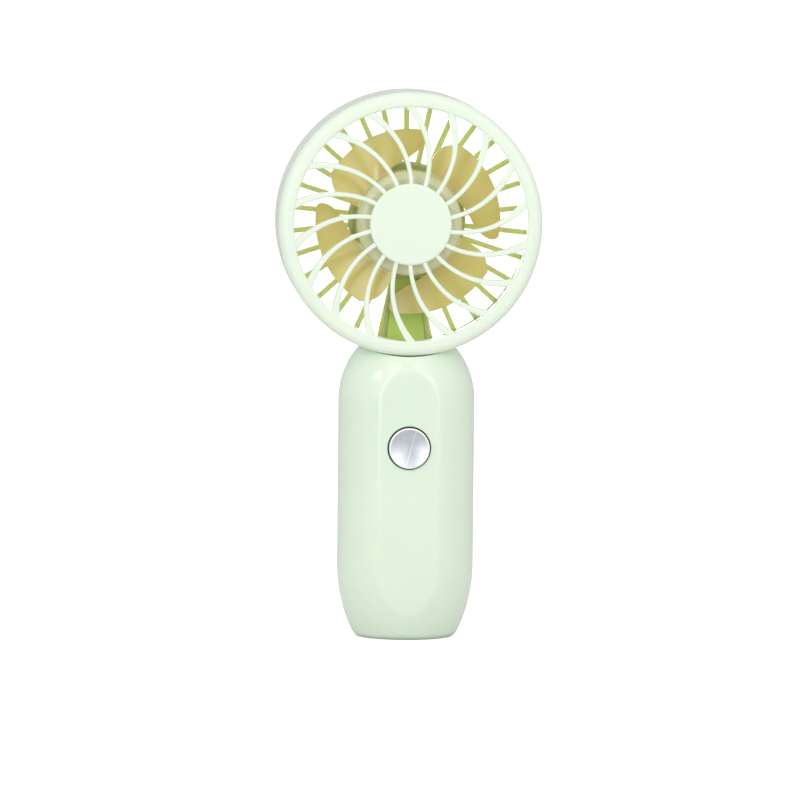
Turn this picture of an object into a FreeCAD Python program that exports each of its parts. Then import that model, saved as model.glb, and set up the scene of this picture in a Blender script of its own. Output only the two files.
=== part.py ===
"""Handheld electric fan: a round head with a swirl-spoked front grille on a capsule handle.

Millimetres. +Z is up, the front faces -Y, and the origin is the middle of the flat foot.
The head is a drum whose axis is parallel to Y. Angles in the head run anticlockwise from
+X as seen from the front.
"""

import FreeCAD
import Part

import math
import os

Vector = FreeCAD.Vector

# ---------------------------------------------------------------- driving dimensions

# Handle: an elliptical capsule with a flat panel front and back
handle_length = 75.4        # foot to the lowest point of the head
handle_half_width = 18.05
handle_half_depth = 15.2    # of the ellipse before the panels are cut
panel_y = 13.7              # distance of each flat panel from the mid plane
panel_blend = 4.0           # radius that softens the panel's outline
belly_z = 19.5              # the sides curve inwards below this height
belly_drop = 28.5           # vertical half axis of the lower curve
shoulder_drop = 12.4        # the sides curve inwards this far below the head
dome_rise = 20.0            # vertical half axis of the shoulder curve
foot_blend = 2.6
foot_margin = 1.5           # how far the curved form runs on before the foot is cut flat
surface_seam_deg = 40       # where the turned surface starts, clear of the parting line
handle_wall = 1.6
seam_groove = 0.15          # half width and depth of the parting line
lip_height = 1.1            # tongue of the rear shell inside the front shell
lip_gap = 0.06

# Head
head_r = 34.8
head_front_y = -12.4        # front face of the ring
head_depth = 23.6
drum_wall = 1.6
ring_depth = 4.4            # front ring, from its face to the drum seam
ring_width = 4.0
ring_blend = 2.2
ring_inner_blend = 0.7
skirt_depth = 3.4
skirt_wall = 1.0
rim_stop = 0.6              # ledge in the drum that the rear rim sits on
hook_nose = 0.4
hook_clear = 0.1
hook_depth = 1.2
hook_half_w = 2.5
hook_first_deg = 45.0
head_fit_gap = 0.1          # skirt and rear rim inside the drum
saddle_gap = 0.15           # between the drum and the handle's top edge
rear_blend = 1.3            # rounding of the drum's rear edge

# Front grille
disc_r = 10.8
disc_thick = 1.8
disc_blend = 0.7
disc_proud = 0.1            # the disc stands this far in front of the ring
disc_skirt_depth = 1.6
spoke_count = 18
spoke_depth = 2.0
spoke_recess = 0.3          # spoke faces behind the ring's face
spoke_root_w = 1.15
spoke_rim_w = 2.5
spoke_blend = 0.35
spoke_sweep = 20.5          # degrees that a spoke turns between disc and ring
spoke_curl = 1.4            # power by which the turn grows with radius
spoke_flare = 3             # power by which the width grows with radius
spoke_root_deg = 90.0
spoke_sunk = 0.9            # spoke ends run this far into disc and ring
spoke_stations = 6
hook_count = 4

# Rear grille
bar_count = 30
bar_width = 1.3
bar_depth = 1.7
bar_blend = 0.35
rear_rim_wall = 0.9
rear_rim_depth = 3.2
bar_inset = 0.4             # bars sit in front of the rear face
cup_step = 1.45             # the cup is this much wider than the hub
cup_wall = 1.2
cup_depth = 7.4
cup_floor = 1.4
duct_root_half = 4.35
duct_rim_half = 6.4
duct_wall = 0.9
duct_depth = 5.2
duct_floor = 1.0
cover_thick = 1.0
cover_recess = 0.3
cover_gap = 0.12
notch_half_w = 2.4          # passage for the motor leads
notch_depth = 4.6
lead_duct_space = 1.2

# Impeller
hub_r = 13.95
hub_wall = 1.2
hub_front_gap = 1.6         # between the grille disc's skirt and the hub
hub_blend = 2.4
hub_cup_gap = 0.7           # between the hub's open end and the motor cup
blade_count = 4
blade_tip_gap = 8.7         # between the blade tips and the drum's wall
blade_thick = 0.9
blade_lead_deg = -13.0
blade_trail_deg = 75.0
blade_rise = 8.0            # axial depth swept from trailing to leading edge
blade_front_gap = 1.7       # between the hub's front and a blade's trailing edge
blade_camber = 0.8
blade_lead_edge = [(27, -0.04), (9, 0.18), (-6, 0.42), (-11.5, 0.7)]
blade_trail_edge = [(65.5, 0.78), (70.5, 0.45), (73.5, -0.04)]
blade_tip_degs = (-9.0, 58.5)
blade_tip_round = 0.91      # share of the blade's height where its tips are rounded
blade_tip_turn = 2.6        # degrees that each rounded tip takes
blade_stations = 7
blade_spare_deg = 12        # the sheet runs this far past the outline
hub_boss_wall = 1.2
hub_boss_depth = 1.5

# Motor
yoke_wall = 0.6
magnet_wall = 1.3
air_gap = 0.45
shaft_r = 1.0
bearing_clearance = 0.03
washer_thick = 0.25
washer_gap = 0.1
clip_bite = 0.3             # depth of the clip's groove
clip_thick = 0.4
clip_over = 0.9             # clip's radius beyond the shaft's
clip_gap = 0.3
clip_mouth = 1.2            # clip's opening, as a multiple of the groove's radius
shaft_tail = 0.5
bearing_wall = 1.4
tube_wall = 0.8
stator_depth = 3.6
pole_count = 4
pole_half_w = 1.9
bobbin_wall = 0.5
motor_board_thick = 0.8
motor_board_gap = 0.3
core_wall = 1.4
shoe_thick = 1.2
shoe_half_w = 4.6
shoe_cover = 0.2            # a pole's end stops this far inside the shoe
coil_build = 1.1
coil_round = 0.8            # rounding of the windings, as a share of their build
yoke_recess = 0.4
magnet_over = 1.2
sensor_size = 2.4
sensor_height = 0.8

# Button and its switch
button_drop = 24.1          # button centre below the head's lowest point
button_r = 5.36
button_gap = 0.37           # ring of shadow around the button
button_proud = 0.9          # rim in front of the panel
dish_depth = 0.7            # finger dish in the button's face
dish_rim = 0.38             # width of the rim around the dish
button_wall = 1.3
button_flange = 0.9         # flange overlap behind the panel
button_flange_thick = 0.8
button_travel = 0.35
button_blend = 0.18
hole_blend = 0.3
flange_gap = 0.05
flange_room = 0.2           # relief in the shell around the flange
post_gap = 0.05
post_r = 1.6
switch_size = 6.0
switch_body_h = 2.5
plunger_r = 1.7
plunger_proud = 0.7
plunger_length = 1.4
plunger_clear = 0.06
plunger_blend = 0.2
switch_plate_thick = 0.3
dome_space = 0.2
dome_thick = 0.1
leg_thick = 0.3
leg_half_w = 0.35
leg_pitch = 2.25
leg_rise = 1.2
leg_tail = 0.6
leg_clear = 0.08

# Electronics
board_thick = 1.0
board_inset = 10.05         # from the handle's side
board_above_button = 3.33   # board's edges beyond the button's flange
board_below_button = 13.73
board_front_gap = 4.1       # between the front wall and the board
standoff_r = 1.8
standoff_inset = 2.4
board_corner = 1.0
chip_drop = 3.3             # below the button's centre
chip_half = 2.0
chip_height = 1.1
chip_pins = 4
chip_pitch = 1.0
pin_reach = 0.8
pin_sunk = 0.1              # pins run this far into the body
chip_parts = 3
part_pitch = 1.5
part_x = 5.0
part_half_w = 0.8
part_half_h = 0.4
part_height = 0.5
coil_drop = 15.3
coil_r = 1.9
coil_flange = 0.4
coil_height = 2.0
connector_rise = 4.7        # above the button's centre
connector_half_w = 1.9
connector_half_h = 1.7
connector_height = 3.2
connector_depth = 1.6
lead_pitch = 1.6
charge_board_z = 8.6
charge_board_inset = 11.05
charge_board_front_y = -2.0
charge_board_lip = 2.6      # socket overhang past the board
charge_post_x = 4.8
charge_post_y = 2.4
charge_chip_half = 1.5
charge_chip_y = 2.6
usb_half_w = 4.47
usb_height = 3.26
usb_length = 7.3
usb_wall = 0.3
usb_recess = 0.7            # socket mouth behind the rear panel
usb_gap = 0.2
usb_fit = 0.02
usb_base = 1.6
usb_tongue_half_w = 3.3
usb_tongue_half_h = 0.35
usb_tongue_recess = 0.6
usb_contact_count = 8
usb_contact_pitch = 0.7

# Battery
battery_front_gap = 4.0     # board to cell, for parts and wires
battery_rear_gap = 1.0
battery_foot_gap = 1.7      # socket to cell
battery_head_gap = 2.0      # cell to neck tongue
sleeve_wall = 0.15
terminal_r = 2.8
terminal_h = 0.7
tab_thick = 0.15
tab_half_w = 3.5
tab_reach = 5.0
can_blend = 0.5
gasket_r = 4.4
gasket_depth = 0.6
sleeve_mouth_r = 5.6
pad_half_w = 5.0
pad_half_h = 3.7
pad_drop = 9.0
cradle_inset = 15.0         # cradle ribs from each end of the cell
cradle_thick = 1.2
cradle_gap = 0.1

# Neck tongue and case screws
tongue_inset = 8.55         # from the handle's side
tongue_thick = 3.0
tongue_drop = 8.8           # tongue's lower edge below the head
neck_screw_inset = 3.3      # from the tongue's edge
neck_screw_drop = 5.2
foot_screw_inset = 6.85     # from the handle's side
foot_screw_z = 24.0
boss_wall = 1.3             # front shell's bosses, round the shank
seat_boss_wall = 1.15       # rear shell's bosses, round the screw heads
boss_gap = 0.1
screw_r = 0.9
screw_clear = 0.2
screw_head_over = 0.95      # head's radius beyond the shank's
screw_head_h = 1.3
screw_seat = 1.8            # wall left under a case screw's head
screw_bite = 6.0
drive_reach = 0.6           # cross slot's arm, as a share of the head's radius
drive_half_w = 0.145        # and its half width
board_screw_r = 0.7
board_screw_head_r = 1.4
board_screw_head_h = 0.9
board_screw_bite = 3.0
lead_r = 0.5
lead_bend = 2.2
bend_share = 0.45           # most of a straight run that one bend may take
battery_lead_x = 3.0
battery_lead_drop = 3.0     # red lead's end below the board's top edge
low_lead_rise = 1.8         # lower leads' ends above the board's bottom edge
lead_clear = 1.9            # leads' line behind the board
thread_gap = 0.02           # between parts that are pressed or screwed together
head_clear = 0.2
hole_spare = 0.6

# ------------------------------------------------------------- derived positions

overall_height = handle_length + 2 * head_r
head_z = handle_length + head_r
shoulder_z = handle_length - shoulder_drop
button_z = handle_length - button_drop

head_rear_y = head_front_y + head_depth
seam_y = head_front_y + ring_depth
drum_inner_r = head_r - drum_wall
ring_inner_r = head_r - ring_width
blade_tip_r = drum_inner_r - blade_tip_gap
cup_r = hub_r + cup_step
bearing_r = shaft_r + bearing_wall
tube_r = bearing_r + tube_wall
core_r = tube_r + core_wall
hub_boss_r = shaft_r + hub_boss_wall
clip_r = shaft_r + clip_over
spoke_front_y = head_front_y + spoke_recess
disc_front_y = head_front_y - disc_proud
disc_back_y = disc_front_y + disc_thick

cup_floor_y = head_rear_y - bar_inset - cup_floor
cup_front_y = head_rear_y - bar_inset - cup_depth
hub_front_y = disc_back_y + disc_skirt_depth + hub_front_gap
hub_back_y = cup_front_y - hub_cup_gap
yoke_r = hub_r - hub_wall
magnet_r = yoke_r - yoke_wall
stator_r = magnet_r - magnet_wall - air_gap
yoke_front_y = hub_front_y + hub_wall
stator_front_y = (yoke_front_y + hub_back_y - stator_depth) / 2 + bobbin_wall
stator_back_y = stator_front_y + stator_depth
motor_board_y = cup_front_y + motor_board_gap
rim_stop_y = head_rear_y - bar_inset - rear_rim_depth
duct_front_y = head_rear_y - bar_inset - duct_depth
cover_y = duct_front_y + cover_recess
lead_duct_y = head_rear_y - bar_inset - duct_floor - lead_duct_space
tube_front_y = hub_front_y + hub_wall + hub_boss_depth + washer_thick + washer_gap
boss_back_y = hub_front_y + hub_wall + hub_boss_depth
shaft_front_y = hub_front_y + hub_wall / 2
shaft_end_y = cup_floor_y - shaft_tail
clip_y = shaft_end_y - shaft_tail - clip_thick
bearing_back_y = clip_y - clip_gap
blade_back_y = hub_front_y + blade_front_gap + blade_rise

front_inner_y = -(panel_y - handle_wall)
board_half_w = handle_half_width - board_inset
charge_board_half_w = handle_half_width - charge_board_inset
tongue_half_w = handle_half_width - tongue_inset
neck_screw_x = tongue_half_w - neck_screw_inset
foot_screw_x = handle_half_width - foot_screw_inset
screw_clear_r = screw_r + screw_clear
screw_head_r = screw_r + screw_head_over
boss_r = screw_r + boss_wall
seat_boss_r = screw_head_r + seat_boss_wall
button_hole_r = button_r + button_gap
flange_r = button_hole_r + button_flange
rear_inner_y = panel_y - handle_wall
board_y = front_inner_y + board_front_gap
board_back_y = board_y + board_thick
board_top_z = button_z + flange_r + board_above_button
board_bottom_z = button_z - flange_r - board_below_button
switch_top_y = board_y - switch_body_h
plunger_tip_y = switch_top_y - plunger_proud
connector_z = button_z + connector_rise
connector_y = board_back_y + connector_height / 2
pad_z = button_z - pad_drop

charge_board_top_z = charge_board_z + board_thick
usb_mouth_y = panel_y - usb_recess
usb_top_z = charge_board_top_z + usb_height
usb_mid_z = charge_board_top_z + usb_height / 2
charge_board_rear_y = usb_mouth_y - charge_board_lip

tongue_bottom_z = handle_length - tongue_drop
battery_front_y = board_back_y + battery_front_gap
battery_rear_y = rear_inner_y - battery_rear_gap
battery_r = (battery_rear_y - battery_front_y) / 2
battery_y = (battery_rear_y + battery_front_y) / 2
battery_bottom_z = usb_top_z + battery_foot_gap
battery_top_z = tongue_bottom_z - battery_head_gap
neck_screw_z = handle_length - neck_screw_drop

# ------------------------------------------------------------------- small helpers


def box(x0, x1, y0, y1, z0, z1):
    return Part.makeBox(x1 - x0, y1 - y0, z1 - z0, Vector(x0, y0, z0))


def rod_y(r, y0, y1, x=0.0, z=0.0):
    """A cylinder along Y."""
    return Part.makeCylinder(r, y1 - y0, Vector(x, y0, z), Vector(0, 1, 0))


def rod_z(r, z0, z1, x=0.0, y=0.0):
    """A cylinder along Z."""
    return Part.makeCylinder(r, z1 - z0, Vector(x, y, z0), Vector(0, 0, 1))


def tube_y(r_out, r_in, y0, y1, x=0.0, z=0.0):
    return rod_y(r_out, y0, y1, x, z).cut(rod_y(r_in, y0 - 1, y1 + 1, x, z))


def turn(points, z=0.0):
    """A solid of revolution about the Y line through (0, z), from (radius, y) points.

    A point given as (radius, y, mid_radius, mid_y) is reached by an arc through the middle.
    """
    edges = []
    last = Vector(points[0][0], points[0][1], z)
    for p in points[1:] + points[:1]:
        here = Vector(p[0], p[1], z)
        if here.distanceToPoint(last) > 1e-6:
            if len(p) == 4:
                edges.append(Part.Arc(last, Vector(p[2], p[3], z), here).toShape())
            else:
                edges.append(Part.makeLine(last, here))
        last = here
    face = Part.Face(Part.Wire(edges))
    return face.revolve(Vector(0, 0, z), Vector(0, 1, 0), 360)


def corner(r, y, blend, inward_r, inward_y):
    """The arc's middle point for a rounded corner at (r, y) of a turned profile."""
    k = blend * (1 - math.sqrt(0.5))
    return (r + inward_r * k, y + inward_y * k)


def polar(r, degrees, y):
    """A point in the head, by radius and angle."""
    t = math.radians(degrees)
    return Vector(r * math.cos(t), y, head_z + r * math.sin(t))


def round_the_head(solid, count, first=0.0, skip=()):
    """Copies of a solid turned about the head's axis, anticlockwise from the front."""
    copies = []
    for i in range(count):
        degrees = first + i * 360.0 / count
        if i not in skip:
            copy = solid.copy()
            copy.rotate(Vector(0, 0, head_z), Vector(0, 1, 0), -degrees)
            copies.append(copy)
    return copies


def fuse(shapes):
    return shapes[0].multiFuse(shapes[1:])


def blend_edges(shape, radius, test):
    """Rounds the edges whose middle point passes the test."""
    chosen = []
    for e in shape.Edges:
        first, last = e.ParameterRange
        if test(e, e.valueAt((first + last) / 2)):
            chosen.append(e)
    return shape.makeFillet(radius, chosen)


def route(points, bend):
    """A wire of straight runs joined by tangent arcs, for a lead's path."""
    points = [Vector(*p) for p in points]
    edges = []
    start = points[0]
    for before, here, after in zip(points, points[1:], points[2:]):
        back = (before - here).normalize()
        ahead = (after - here).normalize()
        half_turn = (math.pi - back.getAngle(ahead)) / 2
        runs = min((before - here).Length, (after - here).Length)
        radius = min(bend, bend_share * runs / math.tan(half_turn))
        cut = radius * math.tan(half_turn)
        a = here + back * cut
        b = here + ahead * cut
        inward = (back + ahead).normalize()
        middle = here + inward * (radius / math.cos(half_turn) - radius)
        edges.append(Part.makeLine(start, a))
        edges.append(Part.Arc(a, middle, b).toShape())
        start = b
    edges.append(Part.makeLine(start, points[-1]))
    return Part.Wire(edges)


def lead(points, bend=lead_bend):
    """A round insulated wire that follows a route."""
    path = route(points, bend)
    first = path.Edges[0]
    direction = first.tangentAt(first.ParameterRange[0])
    circle = Part.Wire(Part.makeCircle(lead_r, Vector(*points[0]), direction))
    return path.makePipeShell([circle], True, False)


def export(name, shape):
    solids = shape.Solids
    kept = solids[0] if len(solids) == 1 else Part.makeCompound(solids)
    if not kept.isValid() or not solids:
        raise ValueError("node %s isn't a valid solid" % name)
    kept.exportStep("parts/%s.step" % name)


# ------------------------------------------------------------------------- handle


def ellipse_arc(centre_z, half_w, half_h, start, end):
    """An arc of an upright ellipse in the XZ plane, with angles in degrees from +X to +Z."""
    centre = Vector(0, 0, centre_z)
    side = Vector(half_w, 0, centre_z)
    top = Vector(0, 0, centre_z + half_h)
    if half_w >= half_h:
        curve = Part.Ellipse(side, top, centre)
        turned = 0
    else:
        curve = Part.Ellipse(top, Vector(-half_w, 0, centre_z), centre)
        turned = 90
    return curve.toShape(math.radians(start - turned), math.radians(end - turned))


def capsule(inset):
    """The handle's outer form moved inwards, before the panels are cut."""
    half_w = handle_half_width - inset
    low = belly_drop - inset
    high = dome_rise - inset
    low_z = inset - foot_margin
    foot_angle = -math.degrees(math.asin((belly_z - low_z) / low))
    foot_x = half_w * math.cos(math.radians(foot_angle))
    edges = [
        Part.makeLine(Vector(0, 0, low_z), Vector(foot_x, 0, low_z)),
        ellipse_arc(belly_z, half_w, low, foot_angle, 0),
        Part.makeLine(Vector(half_w, 0, belly_z), Vector(half_w, 0, shoulder_z)),
        ellipse_arc(shoulder_z, half_w, high, 0, 90),
        Part.makeLine(Vector(0, 0, shoulder_z + high), Vector(0, 0, low_z)),
    ]
    turned = Part.Face(Part.Wire(edges)).revolve(Vector(), Vector(0, 0, 1), 360)
    turned.rotate(Vector(), Vector(0, 0, 1), surface_seam_deg)
    squash = FreeCAD.Matrix()
    squash.scale(1, (handle_half_depth - inset) / half_w, 1)
    reach = 2 * handle_half_width
    above_foot = box(-reach, reach, -reach, reach, inset, overall_height)
    return turned.transformGeometry(squash).common(above_foot)


def slab(y0, y1):
    """Everything near the handle between two values of y."""
    reach = 2 * handle_half_width
    return box(-reach, reach, y0, y1, -reach, overall_height)


def panelled(inset):
    """The capsule between its two flat panels."""
    return capsule(inset).common(slab(-(panel_y - inset), panel_y - inset))


def handle_form():
    """The handle's outer form, with its panels' outlines and its foot softened."""
    form = panelled(0)
    form = blend_edges(form, panel_blend, lambda e, m: abs(abs(m.y) - panel_y) < 0.01)
    return blend_edges(form, foot_blend, lambda e, m: abs(m.z) < 0.01 and e.Length > 1)


def saddle():
    """The space that the drum takes out of the handle's top."""
    return rod_y(head_r + saddle_gap, -2 * panel_y, 2 * panel_y, 0, head_z)


def seam_line(form):
    """The fine groove along the parting line, half of it in each shell."""
    return form.common(slab(-seam_groove, seam_groove)).cut(capsule(seam_groove))


def screw_places():
    """(x, z, half the gap between the bosses) of the four case screws."""
    neck = tongue_thick / 2 + boss_gap
    foot = boss_gap / 2
    return {
        "neck": [(-neck_screw_x, neck_screw_z, neck), (neck_screw_x, neck_screw_z, neck)],
        "foot": [(-foot_screw_x, foot_screw_z, foot), (foot_screw_x, foot_screw_z, foot)],
    }


def all_screw_places():
    places = screw_places()
    return places["neck"] + places["foot"]


def standoff_places():
    x = board_half_w - standoff_inset
    low = board_bottom_z + standoff_inset
    high = board_top_z - standoff_inset
    return [(-x, low), (x, low), (-x, high), (x, high)]


def charge_post_places():
    return [(-charge_post_x, charge_post_y), (charge_post_x, charge_post_y)]


def hole_cutter(r, mouth_y, depth, blend, z):
    """A round hole from the front panel backwards, with a softened mouth."""
    mid = corner(r + blend, mouth_y + blend, blend, 0, 0)
    k = blend * math.sqrt(0.5)
    return turn([
        (0, mouth_y - 1),
        (r + blend, mouth_y - 1),
        (r + blend, mouth_y),
        (r, mouth_y + blend, mid[0] - k, mid[1] - k),
        (r, mouth_y + depth),
        (0, mouth_y + depth),
    ], z)


def handle_front_shell():
    """Front half of the handle: button hole, board standoffs and screw bosses."""
    form = handle_form()
    front_half = slab(-2 * panel_y, 0)
    walls = form.cut(panelled(handle_wall)).cut(saddle()).common(front_half)
    rebate = capsule(handle_wall / 2).common(slab(-lip_height - lip_gap, 1))
    walls = walls.cut(rebate)
    parts = [walls]
    for x, z, half_gap in all_screw_places():
        parts.append(rod_y(boss_r, -2 * panel_y, -half_gap, x, z).common(form).cut(saddle()))
    for x, z in standoff_places():
        parts.append(rod_y(standoff_r, -panel_y, board_y, x, z).common(form))
    shell = fuse(parts).cut(seam_line(form))
    shell = shell.cut(hole_cutter(button_hole_r, -panel_y, handle_wall + 1, hole_blend, button_z))
    shell = shell.cut(rod_y(flange_r + flange_room, front_inner_y + flange_gap / 2, board_y, 0,
                            button_z))
    for x, z, half_gap in all_screw_places():
        hole_end = -half_gap - screw_bite - hole_spare
        shell = shell.cut(rod_y(screw_r + thread_gap, hole_end, 1, x, z))
    for x, z in standoff_places():
        hole_end = board_y - board_screw_bite - thread_gap
        shell = shell.cut(rod_y(board_screw_r + thread_gap, hole_end, 0, x, z))
    return shell


def battery_cell(grow):
    return rod_z(battery_r + grow, battery_bottom_z - grow, battery_top_z + grow, 0, battery_y)


def cradle(z, inner):
    """A rib of the rear shell that holds the cell from behind."""
    rib = box(-battery_r, battery_r, battery_y, panel_y, z - cradle_thick / 2, z + cradle_thick / 2)
    return rib.common(inner)


def stadium_y(half_w, half_h, y0, y1, z):
    """A bar along Y with a flat section whose ends are round."""
    flat = half_w - half_h
    bar = box(-flat, flat, y0, y1, z - half_h, z + half_h)
    ends = [rod_y(half_h, y0, y1, x, z) for x in (-flat, flat)]
    return fuse([bar] + ends)


def handle_rear_shell():
    """Rear half: battery cradles, charge board posts, socket opening and screw seats."""
    form = handle_form()
    inner = panelled(handle_wall)
    rear_half = slab(0, 2 * panel_y)
    walls = form.cut(inner).cut(saddle()).common(rear_half)
    lip = capsule(handle_wall / 2 + lip_gap).cut(capsule(handle_wall))
    lip = lip.cut(saddle()).common(slab(-lip_height, handle_wall / 2))
    parts = [walls, lip]
    for x, z, half_gap in all_screw_places():
        boss = rod_y(seat_boss_r, half_gap, 2 * panel_y, x, z)
        parts.append(boss.common(form).cut(saddle()))
    parts.append(cradle(battery_bottom_z + cradle_inset, form))
    parts.append(cradle(battery_top_z - cradle_inset, form))
    for x, y in charge_post_places():
        parts.append(rod_z(standoff_r, handle_wall / 2, charge_board_z, x, y))
    shell = fuse(parts).cut(seam_line(form)).cut(battery_cell(cradle_gap))
    for x, z, half_gap in all_screw_places():
        seat_y = half_gap + screw_seat
        shell = shell.cut(rod_y(screw_clear_r, -1, 2 * panel_y, x, z))
        shell = shell.cut(rod_y(screw_head_r + head_clear, seat_y, 2 * panel_y, x, z))
    for x, y in charge_post_places():
        hole_end = charge_board_z - board_screw_bite - thread_gap
        shell = shell.cut(rod_z(board_screw_r + thread_gap, hole_end, charge_board_z + 1, x, y))
    mouth = stadium_y(usb_half_w + usb_gap, usb_height / 2 + usb_gap, rear_inner_y - 1,
                      2 * panel_y, usb_mid_z)
    return shell.cut(mouth)


def case_screws(where):
    """Self-tapping screws through the rear shell into the front shell's bosses."""
    screws = []
    for x, z, half_gap in screw_places()[where]:
        seat_y = half_gap + screw_seat
        head = rod_y(screw_head_r, seat_y, seat_y + screw_head_h, x, z)
        head = blend_edges(head, screw_head_h / 3, lambda e, m: abs(m.y - seat_y) > 0.1
                           and len(e.Vertexes) == 1)
        shank = rod_y(screw_r, -half_gap - screw_bite, seat_y, x, z)
        slot_y = seat_y + screw_head_h / 2
        arm = screw_head_r * drive_reach
        thin = screw_head_r * drive_half_w
        cross = box(x - arm, x + arm, slot_y, panel_y, z - thin, z + thin)
        upright = box(x - thin, x + thin, slot_y, panel_y, z - arm, z + arm)
        screws.append(fuse([head, shank]).cut(cross).cut(upright))
    return Part.makeCompound(screws)


# ------------------------------------------------------------- button and switch


def power_button():
    """A dished cap with a flange behind the panel and a post that meets the switch."""
    rim_y = -panel_y - button_proud
    flange_y = front_inner_y + flange_gap
    back_y = flange_y + button_flange_thick
    dish_r = button_r - dish_rim
    bowl_r = (dish_r ** 2 + dish_depth ** 2) / (2 * dish_depth)
    bowl = Part.makeSphere(bowl_r, Vector(0, rim_y + dish_depth - bowl_r, button_z))
    cap = turn([
        (0, rim_y),
        (button_r, rim_y),
        (button_r, flange_y),
        (flange_r, flange_y),
        (flange_r, back_y),
        (button_r - button_wall, back_y),
        (button_r - button_wall, rim_y + button_wall),
        (post_r, rim_y + button_wall),
        (post_r, plunger_tip_y - post_gap),
        (0, plunger_tip_y - post_gap),
    ], button_z)
    cap = blend_edges(cap, button_blend, lambda e, m: abs(m.y - rim_y) < 0.01)
    return cap.cut(bowl)


def switch_body():
    half = switch_size / 2
    body = box(-half, half, switch_top_y + switch_plate_thick, board_y, button_z - half,
               button_z + half)
    pocket_y = plunger_tip_y + plunger_length + button_travel + thread_gap
    return body.cut(rod_y(plunger_r + plunger_clear, switch_top_y - 1, pocket_y + dome_space,
                          0, button_z))


def switch_plate():
    """The pressed steel cover that holds the switch together."""
    half = switch_size / 2
    plate = box(-half, half, switch_top_y, switch_top_y + switch_plate_thick, button_z - half,
                button_z + half)
    return plate.cut(rod_y(plunger_r + plunger_clear, switch_top_y - 1, board_y, 0, button_z))


def switch_plunger():
    end_y = plunger_tip_y + plunger_length
    stem = rod_y(plunger_r, plunger_tip_y, end_y, 0, button_z)
    return blend_edges(stem, plunger_blend, lambda e, m: abs(m.y - plunger_tip_y) < 0.01
                       and len(e.Vertexes) == 1)


def switch_dome():
    """The snap disc at the bottom of the switch, pressed flat at full travel."""
    floor_y = plunger_tip_y + plunger_length + button_travel + thread_gap + dome_space
    return rod_y(plunger_r - plunger_clear, floor_y - dome_thick, floor_y, 0, button_z)


def leg_blocks(grow):
    """The switch's four legs, or the slots for them when grown."""
    legs = []
    half = switch_size / 2
    for x_side in (-1, 1):
        for z_side in (-1, 1):
            x0 = x_side * (half + leg_thick)
            x1 = x_side * half
            z = button_z + z_side * leg_pitch
            legs.append(box(min(x0, x1) - grow, max(x0, x1) + grow, board_y - leg_rise,
                            board_back_y + leg_tail, z - leg_half_w - grow,
                            z + leg_half_w + grow))
    return Part.makeCompound(legs)


def switch_legs():
    """Four tinned legs through the board."""
    return leg_blocks(0)


# -------------------------------------------------------------------- electronics


def main_board():
    board = box(-board_half_w, board_half_w, board_y, board_back_y, board_bottom_z, board_top_z)
    board = blend_edges(board, board_corner, lambda e, m: abs(abs(m.x) - board_half_w) < 0.01
                        and e.Length < 2 * board_thick)
    for x, z in standoff_places():
        board = board.cut(rod_y(board_screw_r + head_clear, board_y - 1, board_back_y + 1, x, z))
    return board.cut(leg_blocks(leg_clear))


def small_screw():
    """A board screw along +Z with its head's underside at the origin."""
    head = Part.makeCylinder(board_screw_head_r, board_screw_head_h)
    head = blend_edges(head, board_screw_head_h / 3, lambda e, m: m.z > 0.1
                       and len(e.Vertexes) == 1)
    shank = Part.makeCylinder(board_screw_r, board_screw_bite + board_thick,
                              Vector(0, 0, -board_screw_bite - board_thick))
    arm = board_screw_head_r * drive_reach
    thin = board_screw_head_r * drive_half_w
    depth = board_screw_head_h / 2
    cross = box(-arm, arm, -thin, thin, depth, 2 * board_screw_head_h)
    upright = box(-thin, thin, -arm, arm, depth, 2 * board_screw_head_h)
    return fuse([head, shank]).cut(cross).cut(upright)


def board_screws():
    screws = []
    for x, z in standoff_places():
        screw = small_screw()
        screw.rotate(Vector(), Vector(1, 0, 0), -90)
        screw.translate(Vector(x, board_back_y, z))
        screws.append(screw)
    return Part.makeCompound(screws)


def charge_screws():
    screws = []
    for x, y in charge_post_places():
        screw = small_screw()
        screw.translate(Vector(x, y, charge_board_top_z))
        screws.append(screw)
    return Part.makeCompound(screws)


def on_board(x, z, half_w, half_h, height):
    """A block on the main board's back face."""
    return box(x - half_w, x + half_w, board_back_y, board_back_y + height, z - half_h, z + half_h)


def controller_chip():
    body = on_board(0, button_z - chip_drop, chip_half, chip_half, chip_height)
    pins = []
    for i in range(chip_pins):
        z = button_z - chip_drop + (i - (chip_pins - 1) / 2) * chip_pitch
        for side in (-1, 1):
            pins.append(on_board(side * (chip_half + pin_reach / 2), z, (pin_reach + pin_sunk) / 2,
                                 chip_pitch / 4, chip_height / 3))
    return fuse([body] + pins)


def board_parts():
    """Chip resistors and capacitors in two rows beside the controller."""
    parts = []
    for i in range(chip_parts):
        z = button_z - chip_drop + (i - (chip_parts - 1) / 2) * part_pitch
        for side in (-1, 1):
            parts.append(on_board(side * part_x, z, part_half_w, part_half_h, part_height))
    return Part.makeCompound(parts)


def boost_coil():
    """The shielded inductor of the boost stage, a drum between two flanges."""
    z = button_z - coil_drop
    y = board_back_y
    return turn([
        (0, y),
        (coil_r, y),
        (coil_r, y + coil_flange),
        (coil_r - coil_flange, y + coil_flange),
        (coil_r - coil_flange, y + coil_height - coil_flange),
        (coil_r, y + coil_height - coil_flange),
        (coil_r, y + coil_height),
        (0, y + coil_height),
    ], z)


def motor_connector():
    """A two-way wire connector on the board's back, with its mouths upwards."""
    body = on_board(0, connector_z, connector_half_w, connector_half_h, connector_height)
    top_z = connector_z + connector_half_h
    for side in (-1, 1):
        body = body.cut(rod_z(lead_r + thread_gap, top_z - connector_depth, top_z + 1,
                              side * lead_pitch / 2, connector_y))
    return body


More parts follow.
